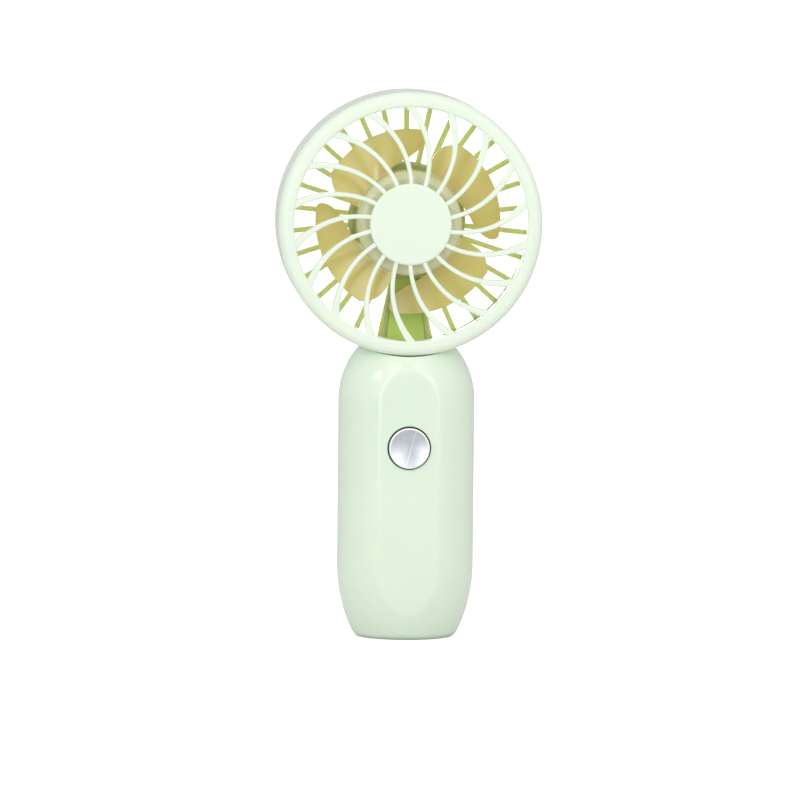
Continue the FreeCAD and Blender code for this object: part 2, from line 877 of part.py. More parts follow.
def charge_board():
    board = box(-charge_board_half_w, charge_board_half_w, charge_board_front_y,
                charge_board_rear_y, charge_board_z, charge_board_top_z)
    for x, y in charge_post_places():
        board = board.cut(rod_z(board_screw_r + head_clear, charge_board_z - 1,
                                charge_board_top_z + 1, x, y))
    return board


def charge_chip():
    z = charge_board_top_z
    return box(-charge_chip_half, charge_chip_half, charge_chip_y - charge_chip_half,
               charge_chip_y + charge_chip_half, z, z + chip_height)


def usb_shell():
    """The socket's drawn steel shell, closed at its inner end."""
    half_h = usb_height / 2
    back_y = usb_mouth_y - usb_length
    outer = stadium_y(usb_half_w, half_h, back_y, usb_mouth_y, usb_mid_z)
    inner = stadium_y(usb_half_w - usb_wall, half_h - usb_wall, back_y + usb_wall,
                      usb_mouth_y + 1, usb_mid_z)
    return outer.cut(inner)


def usb_tongue():
    """The moulded tongue that carries the contacts, on a plug that fills the shell's end."""
    half_h = usb_height / 2 - usb_wall - usb_fit
    base_y = usb_mouth_y - usb_length + usb_wall
    base = stadium_y(usb_half_w - usb_wall - usb_fit, half_h, base_y, base_y + usb_base,
                     usb_mid_z)
    tongue = box(-usb_tongue_half_w, usb_tongue_half_w, base_y, usb_mouth_y - usb_tongue_recess,
                 usb_mid_z - usb_tongue_half_h, usb_mid_z + usb_tongue_half_h)
    return fuse([base, tongue])


def usb_contacts():
    """Gilded contact strips on both faces of the tongue."""
    strips = []
    for i in range(usb_contact_count):
        x = (i - (usb_contact_count - 1) / 2) * usb_contact_pitch
        for side in (-1, 1):
            near = usb_mid_z + side * usb_tongue_half_h
            far = near + side * tab_thick / 2
            strips.append(box(x - usb_contact_pitch / 4, x + usb_contact_pitch / 4,
                              usb_mouth_y - usb_length + usb_wall + usb_base,
                              usb_mouth_y - usb_tongue_recess - usb_fit,
                              min(near, far), max(near, far)))
    return Part.makeCompound(strips)


# ------------------------------------------------------------------------ battery


def battery_can():
    can = rod_z(battery_r - sleeve_wall, battery_bottom_z + sleeve_wall,
                battery_top_z - sleeve_wall, 0, battery_y)
    can = blend_edges(can, can_blend, lambda e, m: len(e.Vertexes) == 1)
    seat = rod_z(gasket_r, battery_top_z - sleeve_wall - gasket_depth, battery_top_z, 0, battery_y)
    return can.cut(seat)


def battery_gasket():
    """The insulating ring that the positive cap is crimped into."""
    ring = rod_z(gasket_r, battery_top_z - sleeve_wall - gasket_depth,
                 battery_top_z - sleeve_wall, 0, battery_y)
    return ring.cut(rod_z(terminal_r, 0, battery_top_z + 1, 0, battery_y))


def battery_cap():
    """The raised positive terminal."""
    foot_z = battery_top_z - sleeve_wall - gasket_depth
    cap = rod_z(terminal_r, foot_z, battery_top_z + terminal_h, 0, battery_y)
    return blend_edges(cap, tab_thick, lambda e, m: abs(m.z - battery_top_z - terminal_h) < 0.01
                       and len(e.Vertexes) == 1)


def battery_sleeve():
    """The shrink sleeve, open over both terminals."""
    skin = rod_z(battery_r, battery_bottom_z, battery_top_z, 0, battery_y)
    skin = skin.cut(rod_z(battery_r - sleeve_wall, battery_bottom_z + sleeve_wall,
                          battery_top_z - sleeve_wall, 0, battery_y))
    return skin.cut(rod_z(sleeve_mouth_r, 0, overall_height, 0, battery_y))


def battery_tab(z0, z1):
    """A nickel strip welded to a terminal, which the cell's lead is soldered to."""
    return box(-tab_half_w, tab_half_w, battery_y - tab_reach, battery_y + tab_half_w, z0, z1)


def battery_pad():
    """The foam pad between the board and the cell."""
    pad = box(-pad_half_w, pad_half_w, board_back_y, battery_y, pad_z - pad_half_h,
              pad_z + pad_half_h)
    return pad.cut(battery_cell(cradle_gap))


# --------------------------------------------------------------------------- head


def head_ring():
    """The drum behind the front ring, with the tongue that the handle clamps."""
    back = head_rear_y
    mid = corner(head_r, back, rear_blend, -1, -1)
    drum = turn([
        (head_r, seam_y),
        (head_r, back - rear_blend),
        (head_r - rear_blend, back) + mid,
        (drum_inner_r, back),
        (drum_inner_r, rim_stop_y),
        (drum_inner_r - rim_stop, rim_stop_y),
        (drum_inner_r - rim_stop, rim_stop_y - rim_stop),
        (drum_inner_r, rim_stop_y - 2 * rim_stop),
        (drum_inner_r, seam_y),
    ], head_z)
    half = tongue_thick / 2
    tongue = box(-tongue_half_w, tongue_half_w, -half, half, tongue_bottom_z, head_z)
    tongue = tongue.cut(rod_y(head_r - drum_wall / 2, -panel_y, panel_y, 0, head_z))
    drum = fuse([drum, tongue])
    for x, z, half_gap in screw_places()["neck"]:
        drum = drum.cut(rod_y(screw_clear_r, -panel_y, panel_y, x, z))
    notch = box(-notch_half_w, notch_half_w, -panel_y, panel_y, 0, tongue_bottom_z + notch_depth)
    wires = box(-notch_half_w, notch_half_w, lead_duct_y - notch_half_w,
                lead_duct_y + lead_duct_space, 0, handle_length + 2 * drum_wall)
    drum = drum.cut(notch).cut(wires)
    pockets = round_the_head(hook(hook_clear), hook_count, hook_first_deg)
    return drum.cut(Part.makeCompound(pockets))


def hook(grow):
    """A snap nose on the grille's skirt, on the +X side, or its pocket when grown."""
    y = seam_y + skirt_depth - hook_depth
    return box(drum_inner_r - head_fit_gap - skirt_wall / 2, drum_inner_r + hook_nose + grow,
               y - hook_depth / 2 - grow, y + hook_depth / 2 + grow,
               head_z - hook_half_w - grow, head_z + hook_half_w + grow)


def spoke():
    """One swept spoke that starts at the +X side of the disc."""
    def side(sign):
        points = []
        for i in range(spoke_stations):
            t = i / (spoke_stations - 1)
            r = disc_r - spoke_sunk + t * (ring_inner_r - disc_r + 2 * spoke_sunk)
            share = (r - disc_r) / (ring_inner_r - disc_r)
            turn_deg = spoke_sweep * math.copysign(abs(share) ** spoke_curl, share)
            width = spoke_root_w + (spoke_rim_w - spoke_root_w) * max(share, 0) ** spoke_flare
            half_deg = math.degrees(width / 2 / r)
            points.append(polar(r, turn_deg + sign * half_deg, spoke_front_y))
        curve = Part.BSplineCurve()
        curve.interpolate(points)
        return curve.toShape(), points[0], points[-1]
    left, left_root, left_rim = side(1)
    right, right_root, right_rim = side(-1)
    outline = Part.Wire([right, Part.makeLine(right_rim, left_rim), left,
                         Part.makeLine(left_root, right_root)])
    bar = Part.Face(outline).extrude(Vector(0, spoke_depth, 0))
    return blend_edges(bar, spoke_blend, lambda e, m: abs(m.y - spoke_front_y) < 0.01
                       and e.Length > spoke_rim_w * 2)


def grille_ring():
    """The front ring and the skirt that plugs into the drum."""
    front = head_front_y
    outer_mid = corner(head_r, front, ring_blend, -1, 1)
    inner_mid = corner(ring_inner_r, front, ring_inner_blend, 1, 1)
    skirt_r = drum_inner_r - head_fit_gap
    return turn([
        (ring_inner_r, seam_y),
        (ring_inner_r, front + ring_inner_blend),
        (ring_inner_r + ring_inner_blend, front) + inner_mid,
        (head_r - ring_blend, front),
        (head_r, front + ring_blend) + outer_mid,
        (head_r, seam_y - seam_groove),
        (head_r - seam_groove, seam_y),
        (skirt_r, seam_y),
        (skirt_r, seam_y + skirt_depth),
        (skirt_r - skirt_wall, seam_y + skirt_depth),
        (skirt_r - skirt_wall, seam_y),
    ], head_z)


def grille_disc():
    """The plain disc in the middle, with a stiffening skirt behind it."""
    mid = corner(disc_r, disc_front_y, disc_blend, -1, 1)
    skirt_r = disc_r - disc_blend
    skirt_y = disc_back_y + disc_skirt_depth
    return turn([
        (0, disc_front_y),
        (disc_r - disc_blend, disc_front_y),
        (disc_r, disc_front_y + disc_blend) + mid,
        (disc_r, disc_back_y),
        (skirt_r, disc_back_y),
        (skirt_r, skirt_y),
        (skirt_r - skirt_wall, skirt_y),
        (skirt_r - skirt_wall, disc_back_y),
        (0, disc_back_y),
    ], head_z)


def front_grille():
    spokes = round_the_head(spoke(), spoke_count, spoke_root_deg)
    hooks = round_the_head(hook(0), hook_count, hook_first_deg)
    return fuse([grille_ring(), grille_disc()] + spokes + hooks)


def duct_half_width(r):
    """Half width of the wire duct at a distance below the head's axis."""
    share = (r - cup_r) / (drum_inner_r - cup_r)
    return duct_root_half + share * (duct_rim_half - duct_root_half)


def duct_prism(inset, y0, y1, r0, r1):
    """A tapered block that runs down from the motor cup, narrowed by inset on each side."""
    w0 = duct_half_width(r0) - inset
    w1 = duct_half_width(r1) - inset
    points = [Vector(-w0, y0, head_z - r0), Vector(w0, y0, head_z - r0),
              Vector(w1, y0, head_z - r1), Vector(-w1, y0, head_z - r1)]
    face = Part.Face(Part.makePolygon(points + points[:1]))
    return face.extrude(Vector(0, y1 - y0, 0))


def rear_bar():
    """One straight bar on the +X side of the motor cup."""
    y0 = head_rear_y - bar_inset - bar_depth
    half = bar_width / 2
    bar = box(cup_r - cup_wall / 2, drum_inner_r - head_fit_gap - rear_rim_wall / 2,
              y0, y0 + bar_depth, head_z - half, head_z + half)
    return blend_edges(bar, bar_blend, lambda e, m: e.Length > 2 * bar_depth)


def motor_cup():
    """The cup behind the hub, with the tube that holds the bearing."""
    back = head_rear_y - bar_inset
    soft = cup_wall / 3
    return turn([
        (bearing_r, tube_front_y),
        (tube_r, tube_front_y),
        (tube_r, cup_floor_y),
        (cup_r - cup_wall, cup_floor_y),
        (cup_r - cup_wall, cup_front_y),
        (cup_r - soft, cup_front_y),
        (cup_r, cup_front_y + soft),
        (cup_r, back),
        (0, back),
        (0, cup_floor_y),
        (bearing_r, cup_floor_y),
    ], head_z)


def rear_grille():
    """Rear bars, motor cup and wire duct in one moulding that plugs into the drum."""
    back = head_rear_y - bar_inset
    rim_r = drum_inner_r - head_fit_gap
    rim = tube_y(rim_r, rim_r - rear_rim_wall, rim_stop_y, back, 0, head_z)
    bars = round_the_head(rear_bar(), bar_count, spoke_root_deg, [bar_count // 2])
    duct = duct_prism(0, duct_front_y, back, cup_r - cup_wall / 2, rim_r)
    duct = duct.common(rod_y(rim_r, duct_front_y, back, 0, head_z))
    moulding = fuse([motor_cup(), rim] + bars + [duct])
    duct_end = 2 * head_r
    mouth = duct_prism(duct_wall, duct_front_y - 1, cover_y + cover_thick, cup_r, rim_r - duct_wall)
    channel = box(-notch_half_w, notch_half_w, cover_y, back - duct_floor, head_z - duct_end,
                  head_z - cup_r + 2 * cup_wall)
    ledge_room = tube_y(head_r, drum_inner_r - rim_stop - head_fit_gap, duct_front_y - 1,
                        rim_stop_y, 0, head_z)
    return moulding.cut(mouth).cut(channel).cut(ledge_room)


def duct_cover():
    """The strip that closes the wire duct from the front."""
    rim_r = drum_inner_r - head_fit_gap - duct_wall
    return duct_prism(duct_wall + cover_gap, cover_y, cover_y + cover_thick,
                      cup_r + cover_gap, rim_r - cover_gap)


# ----------------------------------------------------------------- impeller, motor


def blade_sheet():
    """The blade's screw surface, wider than the blade, given its thickness along Y."""
    first = blade_lead_deg - blade_spare_deg
    last = blade_trail_deg + blade_spare_deg
    rows = []
    for i in range(blade_stations):
        share = i / (blade_stations - 1)
        degrees = first + share * (last - first)
        across = (degrees - blade_lead_deg) / (blade_trail_deg - blade_lead_deg)
        y = blade_back_y - blade_rise * across - blade_camber * math.sin(math.pi * share)
        rows.append([polar(r, degrees, y) for r in (hub_r - 2 * hub_wall, hub_r, blade_tip_r,
                                                    blade_tip_r + 2 * hub_wall)])
    surface = Part.BSplineSurface()
    surface.interpolate(rows)
    return surface.toShape().extrude(Vector(0, blade_thick, 0))


def blade_outline():
    """The blade as seen from the front: hub, leading edge, tip arc, trailing edge."""
    height = blade_tip_r - hub_r

    def at(degrees, share):
        return polar(hub_r + share * height, degrees, 0)

    def spline(points):
        curve = Part.BSplineCurve()
        curve.interpolate(points)
        return curve.toShape()

    lead = [at(d, s) for d, s in blade_lead_edge]
    trail = [at(d, s) for d, s in blade_trail_edge]
    tip_start, tip_end = blade_tip_degs
    lead_tip = at(tip_start, 1)
    trail_tip = at(tip_end, 1)
    tip_mid = at((tip_start + tip_end) / 2, 1)
    lead_round = at(tip_start - blade_tip_turn, blade_tip_round)
    trail_round = at(tip_end + blade_tip_turn, blade_tip_round)
    root = at((blade_lead_edge[0][0] + blade_trail_edge[-1][0]) / 2, -hub_wall / 2 / height)
    edges = [
        spline(lead + [lead_round, lead_tip]),
        Part.Arc(lead_tip, tip_mid, trail_tip).toShape(),
        spline([trail_tip, trail_round] + trail),
        Part.Arc(trail[-1], root, lead[0]).toShape(),
    ]
    face = Part.Face(Part.Wire(edges))
    reach = 2 * head_depth
    face.translate(Vector(0, -reach / 2, 0))
    return face.extrude(Vector(0, reach, 0))


def impeller():
    """Hub and blades in one moulding, with the boss that the shaft is pressed into."""
    front = hub_front_y
    mid = corner(hub_r, front, hub_blend, -1, 1)
    inner = hub_r - hub_wall
    hub = turn([
        (0, front),
        (hub_r - hub_blend, front),
        (hub_r, front + hub_blend) + mid,
        (hub_r, hub_back_y),
        (inner, hub_back_y),
        (inner, yoke_front_y),
        (hub_boss_r, yoke_front_y),
        (hub_boss_r, boss_back_y),
        (shaft_r, boss_back_y),
        (shaft_r, shaft_front_y),
        (0, shaft_front_y),
    ], head_z)
    blade = blade_sheet().common(blade_outline())
    blade = blade.cut(rod_y(hub_r - hub_wall / 2, -head_depth, head_depth, 0, head_z))
    return fuse([hub] + round_the_head(blade, blade_count))


def rotor_yoke():
    """The steel ring that backs the magnet, pressed into the hub."""
    return tube_y(yoke_r, magnet_r, yoke_front_y, hub_back_y - yoke_recess, 0, head_z)


def rotor_magnet():
    inner = magnet_r - magnet_wall
    return tube_y(magnet_r, inner, stator_front_y - magnet_over, stator_back_y + magnet_over,
                  0, head_z)


def motor_shaft():
    """Ground steel shaft with a groove for its clip."""
    end_y = shaft_end_y
    shaft = rod_y(shaft_r, shaft_front_y, end_y, 0, head_z)
    groove = tube_y(2 * shaft_r, shaft_r - clip_bite, clip_y, clip_y + clip_thick, 0, head_z)
    return shaft.cut(groove)


def shaft_clip():
    """The split washer that keeps the shaft in its bearing."""
    ring = tube_y(clip_r, shaft_r - clip_bite, clip_y, clip_y + clip_thick, 0, head_z)
    gap = (shaft_r - clip_bite) * clip_mouth
    return ring.cut(box(0, 2 * clip_r, clip_y - 1, clip_y + 1, head_z - gap / 2, head_z + gap / 2))


def thrust_washer():
    return tube_y(bearing_r - bearing_clearance, shaft_r, boss_back_y, boss_back_y + washer_thick,
                  0, head_z)


def sleeve_bearing():
    """Oil-filled bronze sleeve in the cup's tube."""
    return tube_y(bearing_r, shaft_r + bearing_clearance, tube_front_y, bearing_back_y, 0, head_z)


def pole_blank(half_w, r0, r1, y0, y1):
    """A block along +X from r0 to r1 in the head."""
    return box(r0, r1, y0, y1, head_z - half_w, head_z + half_w)


def stator_core():
    """Laminated core: a ring on the tube and four poles with wide shoes."""
    hub = tube_y(core_r, tube_r + thread_gap, stator_front_y, stator_back_y, 0, head_z)
    pole = pole_blank(pole_half_w - bobbin_wall, core_r - 1, stator_r - shoe_cover, stator_front_y,
                      stator_back_y)
    shoe = tube_y(stator_r, stator_r - shoe_thick, stator_front_y, stator_back_y, 0, head_z)
    shoe = shoe.common(pole_blank(shoe_half_w, 0, stator_r + 1, stator_front_y, stator_back_y))
    arm = pole.common(rod_y(stator_r - shoe_thick / 2, -panel_y, panel_y, 0, head_z)).fuse(shoe)
    return fuse([hub] + round_the_head(arm, pole_count))


def stator_bobbins():
    """The two moulded insulators that sit on the core's faces."""
    plates = []
    for y0 in (stator_front_y - bobbin_wall, stator_back_y):
        ring = tube_y(core_r, tube_r + thread_gap, y0, y0 + bobbin_wall, 0, head_z)
        arm = pole_blank(pole_half_w - bobbin_wall, core_r - 1, stator_r - shoe_thick, y0,
                         y0 + bobbin_wall)
        plates.append(fuse([ring] + round_the_head(arm, pole_count)))
    return Part.makeCompound(plates)


def stator_windings():
    """Four enamelled copper coils, one round each pole."""
    y0 = stator_front_y - bobbin_wall
    y1 = stator_back_y + bobbin_wall
    inside = pole_half_w - bobbin_wall
    full = pole_blank(inside + coil_build, core_r + bobbin_wall, stator_r - shoe_thick - bobbin_wall,
                      y0 - coil_build, y1 + coil_build)
    full = blend_edges(full, coil_build * coil_round, lambda e, m: abs(abs(m.z - head_z)
                       - inside - coil_build) < 0.01 and e.Length < stator_r
                       and abs(e.tangentAt(e.ParameterRange[0]).x) > 0.9)
    coil = full.cut(pole_blank(inside, 0, stator_r, y0, y1))
    return Part.makeCompound(round_the_head(coil, pole_count))


def motor_board():
    """The driver board in the cup, round the bearing tube."""
    r_out = cup_r - cup_wall - motor_board_gap
    return tube_y(r_out, tube_r + motor_board_gap, motor_board_y,
                  motor_board_y + motor_board_thick, 0, head_z)


def hall_sensor():
    """The sensor that reads the magnet's edge, between two poles."""
    half = sensor_size / 2
    body = box(magnet_r - magnet_wall - half, magnet_r - magnet_wall + half,
               motor_board_y - sensor_height, motor_board_y, head_z - half, head_z + half)
    body.rotate(Vector(0, 0, head_z), Vector(0, 1, 0), 180 / pole_count)
    return body


# -------------------------------------------------------------------------- leads


def motor_lead(side):
    """From the motor board, down the duct, through the neck and into the connector."""
    x = side * lead_pitch / 2
    top_z = head_z - cup_r + 2 * cup_wall
    board_face = motor_board_y + motor_board_thick
    plug_z = connector_z + connector_half_h - connector_depth
    return lead([
        (x, board_face, top_z),
        (x, lead_duct_y, top_z),
        (x, lead_duct_y, handle_length - tongue_drop / 2),
        (x, connector_y, tongue_bottom_z + notch_depth / 2),
        (x, connector_y, plug_z),
    ])


def battery_lead_red():
    """From the tab on the positive cap to the top of the main board."""
    z = battery_top_z + terminal_h + tab_thick + lead_r
    end_z = board_top_z - battery_lead_drop
    y = board_back_y + lead_clear
    return lead([
        (battery_lead_x, battery_y - tab_reach + lead_bend, z),
        (battery_lead_x, y, z),
        (battery_lead_x, y, end_z),
        (battery_lead_x, board_back_y, end_z),
    ])


def battery_lead_black():
    """From the tab under the cell to the bottom of the main board."""
    z = battery_bottom_z - tab_thick - lead_r
    end_z = board_bottom_z + low_lead_rise
    y = board_back_y + lead_clear
    return lead([
        (-battery_lead_x, battery_y - tab_reach + lead_bend, z),
        (-battery_lead_x, y, z),
        (-battery_lead_x, y, end_z),
        (-battery_lead_x, board_back_y, end_z),
    ])


def charge_lead(side):
    """From the charge board up to the bottom of the main board."""
    x = side * lead_pitch / 2
    start_y = charge_board_front_y + lead_bend / 2
    rise_z = (charge_board_top_z + battery_bottom_z) / 2
    end_z = board_bottom_z + low_lead_rise
    y = board_back_y + lead_clear
    return lead([
        (x, start_y, charge_board_top_z),
        (x, start_y, rise_z),
        (x, y, rise_z),
        (x, y, end_z),
        (x, board_back_y, end_z),
    ])


# -------------------------------------------------------------------------- nodes

nodes = {
    "handle_front_shell": handle_front_shell,
    "handle_rear_shell": handle_rear_shell,
    "neck_screws": lambda: case_screws("neck"),
    "foot_screws": lambda: case_screws("foot"),
    "power_button": power_button,
    "switch_body": switch_body,
    "switch_plate": switch_plate,
    "switch_plunger": switch_plunger,
    "switch_dome": switch_dome,
    "switch_legs": switch_legs,
    "main_board": main_board,
    "board_screws": board_screws,
    "controller_chip": controller_chip,
    "board_parts": board_parts,
    "boost_coil": boost_coil,
    "motor_connector": motor_connector,
    "charge_board": charge_board,
    "charge_screws": charge_screws,
    "charge_chip": charge_chip,
    "usb_shell": usb_shell,
    "usb_tongue": usb_tongue,
    "usb_contacts": usb_contacts,
    "battery_can": battery_can,
    "battery_gasket": battery_gasket,
    "battery_cap": battery_cap,
    "battery_sleeve": battery_sleeve,
    "battery_top_tab": lambda: battery_tab(battery_top_z + terminal_h,
                                           battery_top_z + terminal_h + tab_thick),
    "battery_foot_tab": lambda: battery_tab(battery_bottom_z - tab_thick, battery_bottom_z),
    "battery_pad": battery_pad,
    "battery_lead_red": battery_lead_red,
    "battery_lead_black": battery_lead_black,
    "charge_lead_red": lambda: charge_lead(1),
    "charge_lead_black": lambda: charge_lead(-1),
    "head_ring": head_ring,
    "front_grille": front_grille,
    "rear_grille": rear_grille,
    "duct_cover": duct_cover,
    "motor_lead_red": lambda: motor_lead(1),
    "motor_lead_black": lambda: motor_lead(-1),
    "impeller": impeller,
    "rotor_yoke": rotor_yoke,
    "rotor_magnet": rotor_magnet,
    "motor_shaft": motor_shaft,
    "shaft_clip": shaft_clip,
    "thrust_washer": thrust_washer,
    "sleeve_bearing": sleeve_bearing,
    "stator_core": stator_core,
    "stator_bobbins": stator_bobbins,
    "stator_windings": stator_windings,
    "motor_board": motor_board,
    "hall_sensor": hall_sensor,
}

os.makedirs("parts", exist_ok=True)
for name, make in nodes.items():
    export(name, make())
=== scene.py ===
"""Handheld electric fan: a swirl-spoked round head on a rounded handle, in pale mint plastic."""

import math

import bpy
from mathutils import Matrix, Vector


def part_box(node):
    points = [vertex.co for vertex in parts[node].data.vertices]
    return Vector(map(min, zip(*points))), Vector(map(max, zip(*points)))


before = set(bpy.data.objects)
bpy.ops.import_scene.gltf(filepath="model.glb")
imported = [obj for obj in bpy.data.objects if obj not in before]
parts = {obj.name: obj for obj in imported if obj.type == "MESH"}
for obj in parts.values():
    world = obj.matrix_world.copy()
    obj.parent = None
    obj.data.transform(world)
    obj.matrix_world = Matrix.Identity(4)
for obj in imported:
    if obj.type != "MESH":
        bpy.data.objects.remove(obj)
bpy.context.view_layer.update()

# ------------------------------------------------------------ handle shells and drum
# Two ABS handle shells and the drum of the head, 1.6 mm thick, in pale mint with a high polish.
# The shells meet at a fine parting line down both sides, and four screws from the back draw
# them together round the drum's tongue.


def feed(tree, value, socket):
    """Links another socket into this one, or sets it to a plain number or colour."""
    if isinstance(value, bpy.types.NodeSocket):
        tree.links.new(value, socket)
    else:
        socket.default_value = value


def maths(tree, operation, first, second=0):
    node = tree.nodes.new("ShaderNodeMath")
    node.operation = operation
    feed(tree, first, node.inputs[0])
    feed(tree, second, node.inputs[1])
    return node.outputs["Value"]


def mapped(tree, value, start, end, low=0, high=1, interpolation="LINEAR"):
    """A value taken from start..end onto low..high, and held at both ends."""
    node = tree.nodes.new("ShaderNodeMapRange")
    node.interpolation_type = interpolation
    for label, bound in (("Value", value), ("From Min", start), ("From Max", end),
                         ("To Min", low), ("To Max", high)):
        feed(tree, bound, node.inputs[label])
    return node.outputs["Result"]


def blended(tree, share, first, second):
    """A colour between two colours."""
    node = tree.nodes.new("ShaderNodeMix")
    node.data_type = "RGBA"
    feed(tree, share, node.inputs["Factor"])
    feed(tree, first, node.inputs["A"])
    feed(tree, second, node.inputs["B"])
    return node.outputs["Result"]


def own_place(tree):
    """Where a point lies on the piece, in metres."""
    return tree.nodes.new("ShaderNodeTexCoord").outputs["Object"]


def noise_at(tree, where, scale, detail, stretch=(1, 1, 1)):
    """Noise over the piece, stretched along an axis where the marks run one way."""
    mapping = tree.nodes.new("ShaderNodeMapping")
    mapping.inputs["Scale"].default_value = stretch
    tree.links.new(where, mapping.inputs["Vector"])
    noise = tree.nodes.new("ShaderNodeTexNoise")
    noise.inputs["Detail"].default_value = detail
    feed(tree, scale, noise.inputs["Scale"])
    tree.links.new(mapping.outputs["Vector"], noise.inputs["Vector"])
    return noise.outputs["Fac"]


def spread(tree, noise, low, high):
    """Noise taken from its usual reach onto low..high."""
    usual_low, usual_high = 0.3, 0.7
    return mapped(tree, noise, usual_low, usual_high, low, high)


def new_group(name, inputs):
    """A shader group with these inputs, which puts out a colour, a roughness and a height."""
    group = bpy.data.node_groups.new(name, "ShaderNodeTree")
    for label, value in inputs.items():
        kind = "NodeSocketColor" if isinstance(value, tuple) else "NodeSocketFloat"
        socket = group.interface.new_socket(label, in_out="INPUT", socket_type=kind)
        socket.default_value = value
    for label, kind in (("Colour", "NodeSocketColor"), ("Roughness", "NodeSocketFloat"),
                        ("Height", "NodeSocketFloat")):
        group.interface.new_socket(label, in_out="OUTPUT", socket_type=kind)
    taken = group.nodes.new("NodeGroupInput").outputs
    given = group.nodes.new("NodeGroupOutput").inputs
    return group, taken, given


# The skin of everything injected: a slow drift of shade where the melt cooled, faint marks left
# by polishing the mould, and a fine spark-eroded grain.
moulded_skin, taken, given = new_group(
    "Moulded Skin",
    {"Colour": (0.8, 0.8, 0.8, 1), "Cooler Colour": (0.88, 0.88, 0.88, 1), "Drift": 0.5,
     "Roughness": 0.3, "Polish": 0.05, "Grain Scale": 5200.0})
cooling_scale = 34
polish_scale = 260
polish_run = (1, 1, 0.35)
where = own_place(moulded_skin)
cooling = spread(moulded_skin, noise_at(moulded_skin, where, cooling_scale, 2), 0, taken["Drift"])
feed(moulded_skin, blended(moulded_skin, cooling, taken["Colour"], taken["Cooler Colour"]),
     given["Colour"])
polish = noise_at(moulded_skin, where, polish_scale, 4, polish_run)
roughest = maths(moulded_skin, "ADD", taken["Roughness"], taken["Polish"])
feed(moulded_skin, spread(moulded_skin, polish, taken["Roughness"], roughest),
     given["Roughness"])
feed(moulded_skin, noise_at(moulded_skin, where, taken["Grain Scale"], 2), given["Height"])


def colour(red, green, blue):
    """A linear colour from a swatch's 0 to 255 values."""
    def linear(v):
        v = v / 255
        return v / 12.92 if v <= 0.04045 else ((v + 0.055) / 1.055) ** 2.4
    return (linear(red), linear(green), linear(blue), 1)


def shader_of(material):
    return material.node_tree.nodes["Principled BSDF"]


def tune(material, settings):
    """Sets values on the material's own shader."""
    for label, value in settings.items():
        shader_of(material).inputs[label].default_value = value


def skinned(name, skin, settings, relief, relief_strength):
    """A material whose colour, roughness and fine relief come from a skin group."""
    material = bpy.data.materials.new(name)
    material.use_nodes = True
    tree = material.node_tree
    shader = shader_of(material)
    group = tree.nodes.new("ShaderNodeGroup")
    group.node_tree = skin
    for label, value in settings.items():
        group.inputs[label].default_value = value
    bump = tree.nodes.new("ShaderNodeBump")
    bump.inputs["Strength"].default_value = relief_strength
    bump.inputs["Distance"].default_value = relief
    tree.links.new(group.outputs["Colour"], shader.inputs["Base Color"])
    tree.links.new(group.outputs["Roughness"], shader.inputs["Roughness"])
    tree.links.new(group.outputs["Height"], bump.inputs["Height"])
    tree.links.new(bump.outputs["Normal"], shader.inputs["Normal"])
    return material


def moulded(name, main, cooler, drift, roughness, polish, grain_scale, grain_depth):
    """A moulded plastic. Its roughness runs from roughness to roughness + polish."""
    material = skinned(name, moulded_skin,
                       {"Colour": main, "Cooler Colour": cooler, "Drift": drift,
                        "Roughness": roughness, "Polish": polish, "Grain Scale": grain_scale},
                       relief=grain_depth, relief_strength=1)
    tune(material, {"IOR": 1.5})
    return material


def dress(material, *names):
    """Gives CAD parts their finish."""
    for name in names:
        for held in parts[name].material_slots:
            held.material = material


mint = moulded("mint ABS", colour(225, 238, 219), colour(219, 235, 215), drift=0.6,
               roughness=0.18, polish=0.06, grain_scale=5200, grain_depth=0.0000015)
tune(mint, {"Subsurface Weight": 0.35, "Subsurface Scale": 0.0025, "Coat Weight": 0.45,
            "Coat Roughness": 0.08})
dress(mint, "handle_front_shell", "handle_rear_shell", "head_ring")

# ---------------------------------------------------------------------- front grille
# The ring, spokes and disc are one moulding in the same mint, left a little paler and less
# glossy than the shells.

grille_mint = moulded("mint grille ABS", colour(229, 240, 224), colour(224, 237, 219), drift=0.5,
                      roughness=0.29, polish=0.08, grain_scale=4200, grain_depth=0.000003)
tune(grille_mint, {"Subsurface Weight": 0.25, "Subsurface Scale": 0.002})
dress(grille_mint, "front_grille")

# ----------------------------------------------------------------------- rear grille
# Bars, motor cup and wire duct in one olive-green moulding with a satin face. The thin bars
# let light through, and the thicker cover over the duct is denser; its olive is painted brighter
# and greener than the bars', as painted light against the shade it sits in.

olive = moulded("olive PP", colour(208, 220, 148), colour(199, 212, 137), drift=0.7,
                roughness=0.42, polish=0.1, grain_scale=3600, grain_depth=0.000005)
tune(olive, {"Subsurface Weight": 0.85, "Subsurface Radius": (1, 1, 0.6),
             "Subsurface Scale": 0.008})
dress(olive, "rear_grille")
# Painted light: the cover's colour is a brighter, greener copy of the olive, lifting the shade
# inside the head.
shade_lifted_cover_olive = moulded("olive PP cover with painted light", colour(216, 238, 126), colour(208, 231, 116), drift=0.7,
                      roughness=0.38, polish=0.1, grain_scale=3600, grain_depth=0.000005)
tune(shade_lifted_cover_olive, {"Subsurface Weight": 0.2, "Subsurface Scale": 0.002})
dress(shade_lifted_cover_olive, "duct_cover")

# -------------------------------------------------------------------------- impeller
# Hub and four blades in one tan polypropylene moulding. The thin blades let a little light
# through. The hub is painted paler, as painted light that lifts the shade under the disc and
# stands in for its glossy highlights.


def sides_of(tree, vector):
    """A vector's X, Y and Z."""
    node = tree.nodes.new("ShaderNodeSeparateXYZ")
    tree.links.new(vector, node.inputs["Vector"])
    return node.outputs["X"], node.outputs["Y"], node.outputs["Z"]


def from_axis(tree, across, up, axis_z):
    """How far a point lies from an axis that runs from front to back at that height."""
    above = maths(tree, "SUBTRACT", up, axis_z)
    return maths(tree, "SQRT", maths(tree, "ADD", maths(tree, "MULTIPLY", across, across),
                                     maths(tree, "MULTIPLY", above, above)))


